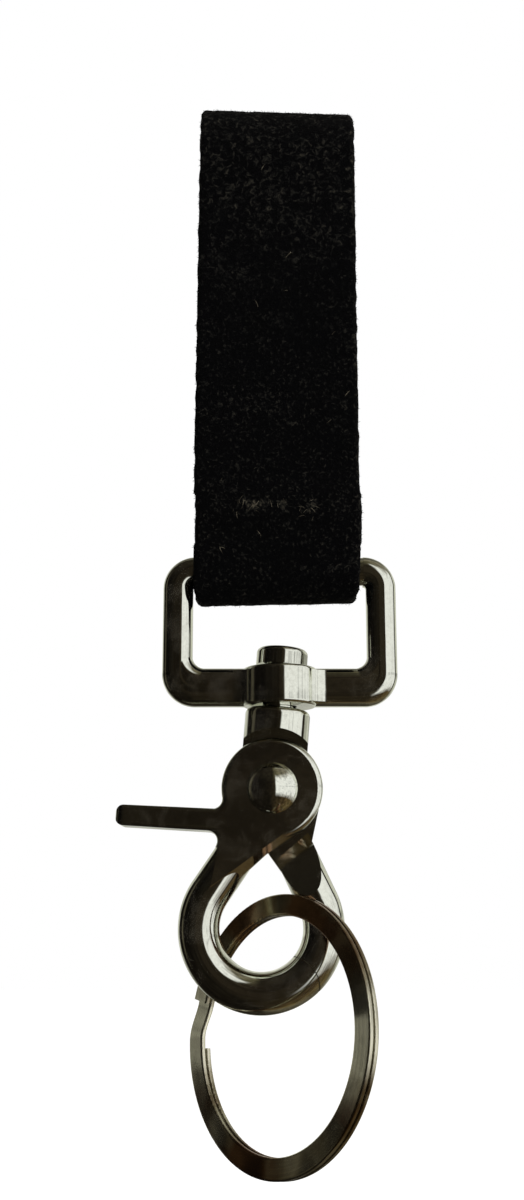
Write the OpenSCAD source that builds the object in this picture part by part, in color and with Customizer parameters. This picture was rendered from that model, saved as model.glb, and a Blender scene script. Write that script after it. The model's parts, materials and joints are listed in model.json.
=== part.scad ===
// Belt key clip: a suede belt strap, a swivel loop frame, a two-jaw scissor clasp and a split key ring.
// +Z is up and the front faces -Y. The origin is the crown of the belt loop, where a belt's top edge sits.

/* [Strap] */
// Width of the strap
strap_w = 24.5; // [20:0.5:32]
// Thickness of the suede
strap_t = 2.5; // [2:0.1:3]
// Inner radius of the fold at the top of the belt loop
loop_r = 9.5; // [8:0.5:12]
// Height from the frame's top bar up to the crown of the belt loop
strap_drop = 75; // [65:1:100]
// How far the frame's top bar hangs in front of the middle of the belt loop
frame_set = 4.5; // [3.5:0.5:6]
// Height of the stitch row above the middle of the top bar
stitch_up = 9.3; // [9:0.1:12]
// Length of the folded-up tail above the stitch row
tail_over = 3.6; // [3:0.2:8]
// Length of the back layer below the stitch row
back_under = 3; // [2:0.2:3.4]
// Distance from hole to hole along the stitch row
stitch_pitch = 2.5; // [1.8:0.1:3.5]
// Margin between the strap's edge and the last hole
stitch_margin = 3.4; // [3:0.2:5]
// Thickness of the thread
thread_d = 0.6; // [0.4:0.1:0.8]

/* [Loop frame] */
// Thickness of the top bar, which the strap is folded round
bar_d = 4.2; // [3.6:0.1:5]
// Play of the top bar in the strap's fold, on the radius
bar_play = 0.15; // [0.1:0.05:0.3]
// Side play between the strap and the frame's limbs
side_play = 0.55; // [0.4:0.05:1]
// Width of the two limbs
limb_w = 4.4; // [4:0.1:5]
// Thickness of the frame from front to back
frame_t = 4.2; // [3.8:0.1:4.8]
// Height of the frame over all
frame_h = 22.4; // [21:0.2:30]
// Height of the bottom bar
bottom_h = 5.6; // [5:0.1:6.5]
// Outer radius of the frame's corners
corner_r = 4.8; // [4.6:0.1:5]
// Radius of the inside corners above the bottom bar
window_r = 1.9; // [1:0.1:2.4]
// Rounding along the frame's edges
frame_edge_r = 1.8; // [1:0.1:1.9]
// Diameter of the swivel boss in the middle of the bottom bar
boss_d = 11; // [10.4:0.2:13]
// Radius of the fillets between the boss and the bottom bar
boss_fillet_r = 3; // [2:0.2:3.2]
// Rounding of the boss's rims
boss_edge_r = 0.5; // [0.3:0.1:0.8]

/* [Swivel stud] */
// Diameter of the stud that turns in the boss
stud_d = 4.4; // [4:0.1:5]
// Lean of the clasp in the play of the boss, in degrees
clasp_lean = 4.5; // [0:0.5:5]
// Least running gap round the stud and at its shoulders
swivel_gap = 0.06; // [0.05:0.01:0.2]
// Diameter of the collar below the boss
collar_d = 9.4; // [8.8:0.2:10]
// Rounding of the collar's top rim
collar_edge_r = 0.9; // [0.5:0.1:1.2]
// Diameter of the peened head above the boss
head_d = 7.5; // [6.8:0.1:8]
// Height of the peened head
head_h = 2.9; // [2.4:0.1:3.4]
// Height of the dome on the head
head_dome_h = 0.3; // [0.2:0.1:0.8]
// Rounding at the rim of the head
head_edge_r = 0.8; // [0.4:0.1:1]

/* [Clasp jaws] */
// Height from the rivet up to the middle of the boss
pivot_drop = 14.85; // [14.6:0.1:18]
// Diameter of the two discs that the rivet holds together
disc_d = 14.4; // [13.8:0.2:14.6]
// Thickness of each disc
plate_t = 3.2; // [3:0.1:3.6]
// Gap between the two discs
plate_gap = 0.2; // [0.1:0.05:0.3]
// Rounding round the faces of the discs
disc_edge_r = 0.8; // [0.4:0.1:1]
// Gap between the disc and the scooped end of the collar
scoop_gap = 1.2; // [0.6:0.1:1.4]
// Gap between parts of the two jaws that face each other edge to edge
jaw_gap = 0.3; // [0.2:0.05:0.5]
// Height from the middle of the hook's eye up to the rivet
eye_drop = 19.4; // [19:0.1:22]
// Inner radius of the hook's eye
eye_r = 5.9; // [5.5:0.1:7]
// Width of the hook's round section in the plane of the clasp
tube_w = 5.8; // [5.4:0.1:6.2]
// Thickness of the hook's section from front to back
tube_t = 6.5; // [6.2:0.1:6.8]
// Rounding of the hook's section
tube_edge_r = 2.6; // [2.2:0.1:2.7]
// Angle above the middle of the eye where the arms run straight, in degrees
arm_start = 30; // [26:1:34]
// Slope of the arms' inner sides, in degrees
arm_inner_slope = 54.5; // [53:0.5:56]
// Angle below the middle of the eye where the jaws meet, in degrees
seam_angle = 33; // [30:1:38]
// Radius of the trigger jaw's rounded tip, which beds in a hollow in the fixed jaw
seam_r = 4.2; // [4:0.1:5]
// Height of the lip by which that tip laps behind the fixed jaw
seam_lip = 0.5; // [0.3:0.1:0.7]
// Width of the bevel along the trigger jaw's web, at its upper end
web_bevel = 1; // [0.6:0.1:1.2]

/* [Thumb lever] */
// Reach of the thumb lever from the rivet
lever_reach = 21.8; // [18:0.2:24]
// Height of the lever at its tip
lever_h = 2.9; // [2.6:0.1:3.4]
// How much higher the lever is at its root
lever_taper = 0.35; // [0.1:0.05:0.6]
// Width of the lever's thumb face from front to back
lever_face = 5.6; // [5:0.1:6.2]
// Depth of the lever's middle below the rivet
lever_drop = 4.85; // [4.6:0.1:5.2]
// Droop of the lever, in degrees
lever_droop = 1.5; // [0:0.5:3]
// Rounding of the lever's long edges
lever_edge_r = 0.7; // [0.4:0.1:0.9]
// Rounding of the lever's tip
lever_tip_r = 1.2; // [0.8:0.1:1.3]
// Rounding of the lever's end as seen from above
lever_end_r = 1.3; // [0.8:0.1:2]
// Radius of the fillets at the lever's root
lever_fillet_r = 1.4; // [1:0.1:1.8]

/* [Rivet and spring] */
// Diameter of the rivet's shank
rivet_d = 3.6; // [3.2:0.1:4]
// Running gap of the trigger jaw on the rivet, on the radius
rivet_play = 0.05; // [0.03:0.01:0.08]
// Diameter of the rivet's domed heads
rivet_head_d = 7.2; // [6.6:0.1:7.6]
// Height of the rivet's front head
rivet_head_h = 1.9; // [1.6:0.1:2.2]
// Height of the rivet's back head
rivet_back_h = 1.1; // [0.8:0.1:1.4]
// Thickness of the spring's wire
wire_d = 0.5; // [0.4:0.05:0.6]
// Number of turns of the spring
spring_turns = 3; // [2:1:3]
// Radius of the spring's coil at the middle of its wire
coil_r = 2.6; // [2.5:0.05:2.8]
// Angle that the trigger jaw opens, in degrees
open_angle = 30; // [20:1:32]

/* [Split ring] */
// Diameter of the split ring over all
ring_d = 36.9; // [36:0.1:38]
// Width of the flat wire across the ring
ring_w = 2.9; // [2.4:0.1:3]
// Thickness of the flat wire
ring_t = 0.85; // [0.7:0.05:1]
// Gap between the two coils
ring_gap = 0.06; // [0.04:0.01:0.1]
// Rounding of the wire's edges
ring_edge_r = 0.28; // [0.15:0.01:0.3]
// Height from the middle of the ring up to the rivet
ring_drop = 32.9; // [32.8:0.1:34]
// Place of the ring's middle to the right of the rivet
ring_side = 3.3; // [3:0.1:3.6]
// How far the ring's middle hangs in front of the rivet
ring_set = 4.2; // [4.1:0.1:4.6]
// Turn of the ring out of the plane of the clasp, in degrees
ring_yaw = 50; // [48:1:52]
// Lean of the ring, in degrees
ring_tip = 2.7; // [2:0.1:3.4]

/* [Hidden] */
$fn = 72;
wire_sides = 8;
cut = 1;
thread_sink = 0.2;
thread_lay_share = 1.1;
relief = 0.02;
sharp_r = 0.01;
stitch_holes = 1 + 2 * floor((strap_w - 2 * stitch_margin) / (2 * stitch_pitch));

// Loop of the strap, in the plane of Y and Z
fold_mid_r = loop_r + strap_t / 2;
fold_mid = [0, -loop_r];
bar_mid = [-frame_set, -strap_drop];
wrap_mid_r = bar_d / 2 + bar_play + strap_t / 2;
layer_gap = 0.02;
wrap_turn = 40;
wrap_pull_share = 1.2;
layer_step = strap_t + layer_gap;
span = bar_mid - fold_mid;
front_turn = atan2(span[1], span[0]) - acos((fold_mid_r - wrap_mid_r) / norm(span)) + 360;
stack_out = [cos(front_turn), sin(front_turn)];
stack_up = [-stack_out[1], stack_out[0]] * sign(stack_out[0]);
front_low = bar_mid + wrap_mid_r * stack_out;
stitch_rise = stitch_up / stack_up[1];

function on_circle(mid, r, turn) = mid + r * [cos(turn), sin(turn)];
function arc(mid, r, from, to, steps, first = 0) =
    [for (i = [first:steps]) on_circle(mid, r, from + (to - from) * i / steps)];
// Point on a layer of the sewn stack: layer 0 is the front one, rise runs up it from the top bar
function on_stack(layer, rise) = front_low + rise * stack_up - layer * layer_step * stack_out;
// Bend from one point and heading to another, both headings as unit vectors
function bend(p, q, p_way, q_way, pull, steps, first = 0) = [for (i = [first:steps])
    let (s = i / steps)
    (2 * s * s * s - 3 * s * s + 1) * p + (s * s * s - 2 * s * s + s) * pull * p_way
    + (3 * s * s - 2 * s * s * s) * q + (s * s * s - s * s) * pull * q_way];
function normal_at(path, i) =
    let (a = path[max(i - 1, 0)], b = path[min(i + 1, len(path) - 1)], way = (b - a) / norm(b - a))
    [-way[1], way[0]];
function ribbon(path, half) = concat(
    [for (i = [0:len(path) - 1]) path[i] + half * normal_at(path, i)],
    [for (i = [len(path) - 1:-1:0]) path[i] - half * normal_at(path, i)]);

module strap() {
    back_foot = on_stack(2, stitch_rise - back_under);
    back_bend = on_stack(2, stitch_rise + tail_over);
    back_top = on_circle(fold_mid, fold_mid_r, 0);
    wrap_end = on_circle(bar_mid, wrap_mid_r, wrap_turn);
    tail_foot = on_stack(1, stitch_rise - back_under - strap_t / 4);
    run = concat(
        [back_foot],
        bend(back_bend, back_top, stack_up, [0, 1], norm(back_top - back_bend), 14),
        arc(fold_mid, fold_mid_r, 0, front_turn, 24, 1),
        arc(bar_mid, wrap_mid_r, front_turn, wrap_turn + 360, 24),
        bend(wrap_end, tail_foot, [-sin(wrap_turn), cos(wrap_turn)], stack_up,
            wrap_pull_share * norm(tail_foot - wrap_end), 10, 1),
        [on_stack(1, stitch_rise + tail_over)]);
    color("#1a1918")
    translate([-strap_w / 2, 0, 0])
    rotate([90, 0, 90])
    linear_extrude(strap_w)
    polygon(ribbon(run, strap_t / 2));
}

// Two threads in a saddle seam: each goes in and out of every hole, on the other face from its neighbour
module stitching() {
    face = strap_t / 2 + thread_d / 2 - thread_sink;
    row = (stitch_holes - 1) * stitch_pitch;
    color("#0c0c0d")
    for (start = [0, 1]) {
        rise = stitch_rise + (start - 0.5) * thread_lay_share * thread_d;
        faces = [on_stack(0, rise) + face * stack_out, on_stack(2, rise) - face * stack_out];
        wire_along([for (i = [0:stitch_holes - 1], turn = [0, 1])
            let (p = faces[(i + turn + start) % 2]) [i * stitch_pitch - row / 2, p[0], p[1]]], thread_d, wire_sides);
    }
}

// Rectangle with round corners, centred
module round_rect(w, h, r) {
    square([w - 2 * r, h], center = true);
    square([w, h - 2 * r], center = true);
    for (x = [-1, 1], y = [-1, 1])
        translate([x * (w / 2 - r), y * (h / 2 - r)])
        circle(r);
}

// Outline in X and Z, given depth from front (low Y) to back (high Y)
module plate(front, back) {
    translate([0, back, 0])
    rotate([90, 0, 0])
    linear_extrude(back - front)
    children();
}

// Round bar section swept along an arc in the plane of X and Z
module swept_arc(mid, r, from, to, w, t, edge_r) {
    translate([mid[0], 0, mid[1]])
    rotate([90, 0, 0])
    rotate([0, 0, from])
    rotate_extrude(angle = to - from, $fn = 96)
    translate([r, 0])
    round_rect(w, t, edge_r);
}

// Round bar section swept along a straight line in the plane of X and Z
module swept_line(start, turn, reach, w, t, edge_r) {
    translate([start[0], 0, start[1]])
    rotate([0, 90 - turn, 0])
    linear_extrude(reach)
    round_rect(w, t, edge_r);
}

// Turned body about Z with rounded upper and lower rims
module turned(d, h, low_r, high_r) {
    rotate_extrude()
    intersection() {
        union() {
            translate([-d / 2, low_r])
            square([d, h - low_r - high_r]);
            translate([-d / 2 + low_r, 0])
            square([d - 2 * low_r, h - high_r]);
            translate([d / 2 - low_r, low_r])
            circle(low_r);
            translate([-d / 2 + high_r, low_r])
            square([d - 2 * high_r, h - low_r]);
            translate([d / 2 - high_r, h - high_r])
            circle(high_r);
        }
        square([d / 2, h]);
    }
}

limb_x = strap_w / 2 + side_play + limb_w / 2;
frame_w = 2 * limb_x + limb_w;
corner_mid_r = corner_r - limb_w / 2;
corner_x = frame_w / 2 - corner_r;
frame_foot = bar_d / 2 - frame_h;
bottom_mid = frame_foot + bottom_h / 2;

module loop_frame() {
    color("#3a3a38")
    translate([0, bar_mid[0], bar_mid[1]])
    difference() {
        union() {
            translate([-corner_x, 0, 0])
            rotate([0, 90, 0])
            cylinder(h = 2 * corner_x, d = bar_d);
            for (side = [0, 1])
                mirror([side, 0, 0])
                frame_side();
            swept_line([-corner_x, bottom_mid], 0, 2 * corner_x, bottom_h, frame_t, frame_edge_r);
            swivel_boss();
        }
        translate([0, 0, bottom_mid - bottom_h])
        cylinder(h = 2 * bottom_h, d = stud_d + 2 * stud_play);
    }
}

// Right limb of the frame, with its corners, up to the top bar and down to the bottom bar
module frame_side() {
    top = bar_d / 2 - limb_w / 2;
    high_mid = [corner_x, top - corner_mid_r];
    low_mid = [corner_x, frame_foot + corner_r];
    inside = [limb_x - limb_w / 2, bottom_mid + bottom_h / 2];
    swept_arc(high_mid, corner_mid_r, 0, 90, limb_w, frame_t, frame_edge_r);
    swept_line([limb_x, low_mid[1]], 90, high_mid[1] - low_mid[1], limb_w, frame_t, frame_edge_r);
    swept_arc(low_mid, corner_mid_r, -90, 0, limb_w, frame_t, frame_edge_r);
    difference() {
        plate(relief - frame_t / 2, frame_t / 2 - relief)
        translate([inside[0] - window_r, inside[1] - bottom_h / 2])
        square([window_r + limb_w / 2, window_r + bottom_h / 2]);
        translate([inside[0] - window_r, 0, inside[1] + window_r])
        rotate([90, 0, 0])
        flared_disc(window_r + relief, frame_t - 2 * relief, frame_edge_r);
    }
}

// Cutter for an inside corner of radius r between bars of thickness t with rounded edges
module flared_disc(r, t, edge_r) {
    rotate_extrude($fn = 36)
    difference() {
        translate([0, -t / 2 - cut])
        square([r + edge_r, t + 2 * cut]);
        translate([r, edge_r - t / 2])
        square([2 * edge_r, t - 2 * edge_r]);
        for (face = [-1, 1])
            translate([r + edge_r, face * (t / 2 - edge_r)])
            circle(edge_r, $fn = 36);
    }
}

// Upright barrel in the bottom bar that the stud turns in, filleted into the bar at the front and back
module swivel_boss() {
    fillet_x = sqrt(pow(boss_d / 2 + boss_fillet_r, 2) - pow(frame_t / 2 + boss_fillet_r, 2));
    touch_share = (boss_d / 2) / (boss_d / 2 + boss_fillet_r);
    touch = [fillet_x, frame_t / 2 + boss_fillet_r] * touch_share;
    translate([0, 0, frame_foot])
    turned(boss_d, bottom_h, boss_edge_r, boss_edge_r);
    for (face = [0, 1])
        mirror([0, face, 0])
        translate([0, 0, frame_foot + boss_edge_r])
        linear_extrude(bottom_h - 2 * boss_edge_r)
        difference() {
            polygon([[-fillet_x, 0], [-fillet_x, frame_t / 2], [-touch[0], touch[1]], [touch[0], touch[1]],
                [fillet_x, frame_t / 2], [fillet_x, 0]]);
            for (side = [-1, 1])
                translate([side * fillet_x, frame_t / 2 + boss_fillet_r])
                circle(boss_fillet_r);
        }
}

// Room that the leaning stud, collar and head need in and on the boss
stud_play = bottom_h / 2 * tan(clasp_lean) + swivel_gap;
collar_play = collar_d / 2 * sin(clasp_lean) + swivel_gap;
head_play = head_d / 2 * sin(clasp_lean) + swivel_gap;
collar_top = pivot_drop - bottom_h / 2 - collar_play;
head_low = pivot_drop + bottom_h / 2 + head_play;

// Clasp frame: its origin is the rivet's middle, its Z runs along the stud
module on_clasp() {
    translate([0, bar_mid[0], bar_mid[1] + bottom_mid])
    rotate([0, clasp_lean, 0])
    translate([0, 0, -pivot_drop])
    children();
}

disc_r = disc_d / 2;
seam_lap = 9;
half_gap = plate_gap / 2;
plate_face = half_gap + plate_t;
eye_mid = [0, -eye_drop];
tube_r = eye_r + tube_w / 2;
arm_foot = on_circle(eye_mid, tube_r, arm_start);
arm_inner = on_circle(eye_mid, eye_r, arm_start);
arm_slope = 90 - arm_start;
apex = [0, arm_inner[1] + arm_inner[0] * tan(arm_inner_slope)];
arm_reach = (arm_foot[0] - tube_w / 4) / cos(arm_slope) / 2;
seam_turn = -seam_angle - seam_r / tube_r * 180 / PI;
seam_mid = on_circle(eye_mid, tube_r, seam_turn);

// Disc about the rivet, its outer face rounded at the rim, outer is -1 at the front and 1 at the back
module disc(outer) {
    rotate([outer > 0 ? -90 : 90, 0, 0])
    translate([0, 0, half_gap])
    turned(disc_d, plate_t, disc_edge_r / 4, disc_edge_r);
}

// Straight at the top of the right arm, which leans in until it ends inside the disc
module arm_straight() {
    swept_line(arm_foot, 180 - arm_slope, arm_reach + tube_w / 2 + jaw_gap, tube_w - relief, tube_t - relief, tube_edge_r);
}

// Rivet hole and half of the room for the spring, common to both jaws
module pivot_room(side, play) {
    rotate([-90, 0, 0])
    translate([0, 0, -2 * plate_face])
    cylinder(h = 4 * plate_face, d = rivet_d + 2 * play);
    rotate([side > 0 ? -90 : 90, 0, 0])
    translate([0, 0, -cut])
    cylinder(h = cut + half_gap + spring_room, r = coil_r + wire_d);
}

spring_pitch = wire_d + layer_gap;
spring_room = (spring_turns * spring_pitch + 2 * wire_d) / 2 - half_gap;
tang_h = spring_turns * spring_pitch / 2 + 2 * wire_d;
tang_room = tang_h - half_gap - spring_room + swivel_gap;

module fixed_jaw() {
    scoop_r = disc_r + scoop_gap;
    step_turn = 45;
    step_slope = 64;
    color("#353532")
    on_clasp()
    difference() {
        union() {
            swivel_end(scoop_r);
            disc(1);
            difference() {
                union() {
                    swept_arc(eye_mid, tube_r, -seam_angle - seam_lap, arm_start, tube_w, tube_t, tube_edge_r);
                    arm_straight();
                }
                step_cut(step_turn, step_slope);
            }
            plate(half_gap, plate_face - disc_edge_r / 2)
            polygon(rear_web());
        }
        seam_round(jaw_gap / 2);
        pivot_room(1, 0);
        rotate([-90, 0, 0])
        translate([coil_r, 0, half_gap + spring_room - cut])
        cylinder(h = cut + tang_room, d = wire_d + 2 * swivel_gap);
    }
}

web_side_share = 0.96;
web_heel_share = 0.9;

// Outline of the fixed jaw's rear web, between its disc and its arm
function rear_web() = [
    [disc_r, 0],
    arm_foot + (arm_reach + tube_w / 4) * [-cos(arm_slope), sin(arm_slope)]
        + web_side_share * tube_w / 2 * [sin(arm_slope), cos(arm_slope)],
    arm_foot + tube_w / 4 * [1, 0],
    arm_inner + tube_w / 4 * [1, 0],
    apex + [plate_t / 8, 0],
    [-disc_r / 4, -web_heel_share * disc_r],
    [0, 0]];

// Stud, peened head and collar, cut to a slab that runs down behind the front disc
module swivel_end(scoop_r) {
    translate([0, 0, head_low])
    head();
    translate([0, 0, collar_top - cut])
    cylinder(h = head_low - collar_top + 2 * cut, d = stud_d);
    difference() {
        turned(collar_d, collar_top, sharp_r, collar_edge_r);
        plate(-collar_d, half_gap)
        circle(scoop_r);
        plate(plate_face, collar_d)
        circle(scoop_r);
    }
}

// Peened head: a short round body with a low dome
module head() {
    rim_r = head_d / 2 - head_edge_r;
    dome_r = (pow(rim_r, 2) + pow(head_dome_h, 2)) / (2 * head_dome_h);
    rim_h = head_h - head_dome_h;
    rotate_extrude()
    intersection() {
        union() {
            translate([-rim_r, 0])
            square([2 * rim_r, rim_h]);
            translate([-head_d / 2, 0])
            square([head_d, rim_h - head_edge_r]);
            translate([rim_r, rim_h - head_edge_r])
            circle(head_edge_r);
            intersection() {
                translate([0, head_h - dome_r])
                circle(dome_r);
                translate([-rim_r, 0])
                square([2 * rim_r, head_h - relief]);
            }
        }
        square([head_d / 2, head_h]);
    }
}

// Space in front of the fixed jaw's step, where the trigger jaw's web lies
module step_cut(step_turn, slope) {
    step_low = apex + [tube_w / 3, 0];
    translate([step_low[0], half_gap, step_low[1]])
    rotate([0, -step_turn, 0])
    rotate([slope, 0, 0])
    translate([-2 * disc_d, -3 * tube_t, 0])
    cube([4 * disc_d, 3 * tube_t, 2 * disc_d]);
    translate([step_low[0], half_gap, step_low[1]])
    rotate([0, -step_turn, 0])
    translate([-2 * disc_d, -2 * tube_t, 0])
    cube([4 * disc_d, 2 * tube_t, 2 * disc_d]);
}

module trigger_jaw() {
    color("#3b3b37")
    on_clasp()
    difference() {
        union() {
            rotate([90, 0, 0])
            translate([0, 0, -half_gap])
            turned(disc_d, plate_t + plate_gap, disc_edge_r / 4, disc_edge_r);
            difference() {
                plate(-plate_face, half_gap)
                polygon(trigger_web());
                web_bevel_cut();
            }
            mirror([1, 0, 0])
            arm_straight();
            swept_arc(eye_mid, tube_r, 180 - arm_start, 360 - seam_angle + seam_lap, tube_w, tube_t, tube_edge_r);
            thumb_lever();
        }
        plate(-half_gap, tube_t)
        rear_room();
        tip_room();
        pivot_room(-1, rivet_play);
        tang_slot();
    }
}

// Curved slot in the trigger jaw's disc, in which the spring's end stays while the jaw opens
module tang_slot() {
    slack = atan(wire_d / coil_r);
    slot_w = wire_d + 2 * swivel_gap;
    rotate([90, 0, 0])
    translate([0, 0, half_gap + spring_room - cut])
    rotate([0, 0, -slack])
    rotate_extrude(angle = open_angle + 2 * slack)
    translate([coil_r - slot_w / 2, 0])
    square([slot_w, cut + tang_room]);
}

// Outline of the room behind the trigger jaw's web, where the fixed jaw's disc and web lie
module rear_room() {
    circle(disc_r + jaw_gap);
    translate(apex - [jaw_gap, 0])
    rotate(arm_inner_slope - 90)
    translate([0, -disc_r])
    square([disc_d, disc_d]);
    translate([-jaw_gap, -jaw_gap])
    polygon(rear_web());
}

// Rounded tip of the trigger jaw, with a lip at the back that laps behind the fixed jaw, grown by a clearance
module seam_round(slack) {
    translate([seam_mid[0], 0, seam_mid[1]])
    rotate([-90, 0, 0]) {
        translate([0, 0, -tube_t])
        cylinder(h = 2 * tube_t, r = seam_r + slack);
        translate([0, 0, jaw_gap / 4 - slack])
        cylinder(h = tube_t, r = seam_r + seam_lip + slack);
    }
}

// Room beyond the hook's rounded tip
module tip_room() {
    difference() {
        plate(-tube_t / 2 - cut / 2, tube_t / 2 + cut / 2)
        polygon([on_circle(eye_mid, eye_r / 2, seam_turn), on_circle(eye_mid, 2 * tube_r, seam_turn),
            on_circle(eye_mid, 3 * tube_r, -seam_angle), on_circle(eye_mid, 2 * tube_r, 0), eye_mid]);
        seam_round(0);
    }
}

// Outline of the trigger jaw's flat web, from its disc down to the hook
function trigger_web() = [
    [-disc_r / 2, 0],
    [-disc_r, -lever_drop],
    [-arm_foot[0], arm_foot[1]] + arm_reach * [cos(arm_slope), sin(arm_slope)]
        + web_heel_share * tube_w / 2 * [-sin(arm_slope), cos(arm_slope)],
    [-arm_foot[0], arm_foot[1]],
    [-arm_inner[0], arm_inner[1]] - [tube_w / 3, 0],
    apex - [jaw_gap / 2, 0],
    on_circle([0, 0], disc_r, web_turn),
    [0, 0]];

web_turn = -41;
bevel_slope = 40;
bevel_lean = 38;

// Bevel along the lower edge of the trigger's web, sloping from its front face back to the eye
module web_bevel_cut() {
    corner = on_circle([0, 0], disc_r, web_turn) + web_bevel * [sin(web_turn), cos(web_turn)];
    translate([corner[0], -plate_face, corner[1]])
    rotate([0, -bevel_slope, 0])
    rotate([bevel_lean, 0, 0])
    translate([-2 * disc_d, -disc_d, -disc_d])
    cube([4 * disc_d, disc_d, 2 * disc_d]);
}

// Middles of the fillets above and below the lever's root, in the lever's own frame
root_h = lever_h + lever_taper;
function on_lever(p) =
    [p[0] * cos(lever_droop) + (p[1] + lever_drop) * sin(lever_droop),
        (p[1] + lever_drop) * cos(lever_droop) - p[0] * sin(lever_droop)];
disc_at = on_lever([0, 0]);
fillet_rise = (root_h - lever_taper * disc_r / lever_reach) / 2 + lever_fillet_r;
top_fillet = [disc_at[0] - sqrt(pow(disc_r + lever_fillet_r, 2) - pow(disc_at[1] - fillet_rise, 2)), fillet_rise];
arm_turn = arm_slope - lever_droop;
arm_side = on_lever([-arm_foot[0], arm_foot[1]] + tube_w / 2 * [-sin(arm_slope), cos(arm_slope)]);
low_fillet = [arm_side[0] - (fillet_rise + arm_side[1]) / tan(arm_turn) - lever_fillet_r / sin(arm_turn),
    -fillet_rise];

// Thumb lever to the left of the disc, with fillets at its root
module thumb_lever() {
    face_mid = -plate_face + lever_face / 2;
    translate([0, face_mid, -lever_drop])
    rotate([0, -lever_droop, 0])
    intersection() {
        translate([-lever_reach, 0, 0])
        rotate([0, 90, 0])
        linear_extrude(lever_reach - disc_r * 0.6)
        round_rect(root_h, lever_face, lever_edge_r);
        translate([0, 0, -root_h])
        linear_extrude(2 * root_h) {
            translate([lever_end_r - lever_reach, -lever_face / 2])
            square([lever_reach, lever_face]);
            translate([-lever_reach, lever_end_r - lever_face / 2])
            square([lever_end_r, lever_face - 2 * lever_end_r]);
            for (corner = [-1, 1])
                translate([lever_end_r - lever_reach, corner * (lever_face / 2 - lever_end_r)])
                circle(lever_end_r);
        }
        plate(-lever_face, lever_face) {
            polygon([[0, root_h / 2], [lever_tip_r - lever_reach, lever_h / 2],
                [lever_tip_r - lever_reach, -lever_h / 2], [0, -root_h / 2]]);
            for (end = [-1, 1])
                translate([lever_tip_r - lever_reach, end * (lever_h / 2 - lever_tip_r)])
                circle(lever_tip_r);
            translate([-lever_reach, lever_tip_r - lever_h / 2])
            square([lever_tip_r, lever_h - 2 * lever_tip_r]);
        }
    }
    translate([0, face_mid, -lever_drop])
    rotate([0, -lever_droop, 0]) {
        root_fillet(top_fillet, [top_fillet, [top_fillet[0], 0], [-disc_r / 2, 0],
            disc_at + (top_fillet - disc_at) / 2]);
        root_fillet(low_fillet, [low_fillet, [low_fillet[0], 0], [-disc_r / 2, 0],
            low_fillet + (lever_fillet_r + tube_w / 4) * [sin(arm_turn), -cos(arm_turn)]]);
    }
}

// Fillet between the lever and what it grows from, its edge rounded like the lever's
module root_fillet(mid, outline) {
    difference() {
        plate(relief - lever_face / 2, lever_face / 2 - relief)
        polygon(outline);
        translate([mid[0], 0, mid[1]])
        rotate([90, 0, 0])
        flared_disc(lever_fillet_r + relief, lever_face - 2 * relief, lever_edge_r);
    }
}

// Domed rivet through both jaws
module pivot_rivet() {
    color("#403f3b")
    on_clasp() {
        rotate([-90, 0, 0])
        translate([0, 0, -plate_face - swivel_gap - cut / 4])
        cylinder(h = 2 * plate_face + swivel_gap + cut / 2, d = rivet_d);
        translate([0, -plate_face - swivel_gap, 0])
        rotate([90, 0, 0])
        rivet_dome(rivet_head_h);
        translate([0, plate_face, 0])
        rotate([-90, 0, 0])
        rivet_dome(rivet_back_h);
    }
}

// Spherical cap on a flat base
module rivet_dome(h) {
    r = (pow(rivet_head_d / 2, 2) + pow(h, 2)) / (2 * h);
    intersection() {
        translate([0, 0, h - r])
        sphere(r);
        cylinder(h = 2 * h, d = rivet_head_d);
    }
}

// Tube of given thickness along a list of points, closed at both ends
module wire_along(points, d, sides) {
    last = len(points) - 1;
    rings = [for (i = [0:last])
        let (a = points[max(i - 1, 0)], b = points[min(i + 1, last)], way = (b - a) / norm(b - a),
            up = abs(way[2]) > 0.9 ? [1, 0, 0] : [0, 0, 1], u = cross(way, up) / norm(cross(way, up)),
            v = cross(way, u))
        for (k = [0:sides - 1]) points[i] + d / 2 * (cos(360 * k / sides) * u + sin(360 * k / sides) * v)];
    walls = [for (i = [0:last - 1], k = [0:sides - 1])
        let (a = i * sides + k, b = i * sides + (k + 1) % sides)
        each [[a, b, b + sides], [a, b + sides, a + sides]]];
    polyhedron(rings, concat(walls, [[for (k = [sides - 1:-1:0]) k], [for (k = [0:sides - 1]) last * sides + k]]));
}

// Torsion spring between the discs, each end turned into one jaw
module torsion_spring() {
    steps = 28 * spring_turns;
    rise = spring_turns * spring_pitch;
    coil = [for (i = [0:steps]) let (turn = 360 * spring_turns * i / steps)
        [coil_r * cos(turn), coil_r * sin(turn), rise * (i / steps - 0.5)]];
    color("#8d8a80")
    on_clasp()
    rotate([-90, 0, 0])
    wire_along(concat([[coil_r, 0, -tang_h]], coil, [[coil_r, 0, tang_h]]), wire_d, wire_sides);
}

joggle_from = 173;
joggle_to = 189;
end_margin = 1.4;
far_margin = 5;

// Split ring: one flat wire wound twice, which steps from the rear coil to the front one
module split_ring() {
    lift = (ring_t + ring_gap) / 2;
    color("#55524a")
    on_clasp()
    translate([ring_side, -ring_set, -ring_drop])
    rotate([-ring_tip, 0, -ring_yaw])
    rotate([90, 0, 0]) {
        ring_coil(lift, joggle_to, joggle_from + 360 - end_margin);
        ring_coil(-lift, joggle_to + far_margin, joggle_from + 360);
        ring_step(-lift, lift);
    }
}

// One coil of the flat wire between two angles
module ring_coil(lift, from, to) {
    rotate([0, 0, from])
    rotate_extrude(angle = to - from, $fn = 144)
    translate([ring_d / 2 - ring_w / 2, lift])
    round_rect(ring_w, ring_t, ring_edge_r);
}

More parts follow.
